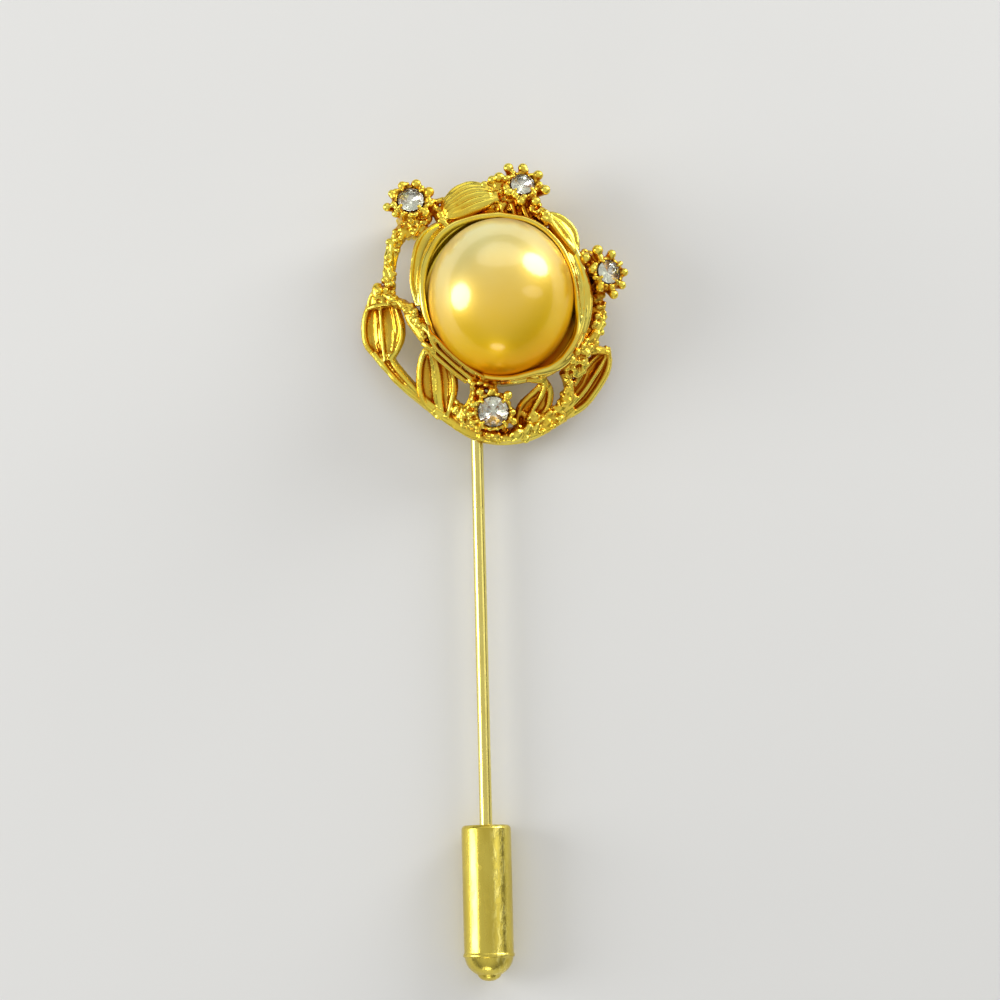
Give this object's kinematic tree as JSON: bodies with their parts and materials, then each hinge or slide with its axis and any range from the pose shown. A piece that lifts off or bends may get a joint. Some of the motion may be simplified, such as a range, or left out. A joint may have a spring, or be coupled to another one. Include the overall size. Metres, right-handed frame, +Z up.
{
  "type": "lapel stick pin",
  "caption": "Lapel stick pin with a golden pearl in an openwork wreath of leaves, vines and claw-set crystal flowers, on a straight wire stem with a slide-off bullet clutch.",
  "frame": {"origin": "on the surface the pin lies on, under the middle of its bounding box", "axes": "+Y from the clutch to the head along the stem, +Z up from the surface towards the pearl, +X to the right as the head is seen from the front"},
  "size_m": [0.0224, 0.065, 0.0107],
  "materials": {
    "gold_plate": "polished yellow gold plate",
    "pearl": "golden pearl lustre",
    "crystal": "clear foil-backed crystal",
    "pale_gold_plate": "worn pale gold plate"
  },
  "bodies": {
    "pin": {"head_frame": "gold_plate", "pearl": "pearl", "crystal_left": "crystal", "crystal_top": "crystal", "crystal_right": "crystal", "crystal_bottom": "crystal"},
    "clutch": {"clutch": "pale_gold_plate"}
  },
  "joints": [
    {"name": "clutch_slide", "type": "slide", "parent": "pin", "child": "clutch", "axis": [0, -1, 0], "range_m": [0, 0.012]}
  ]
}
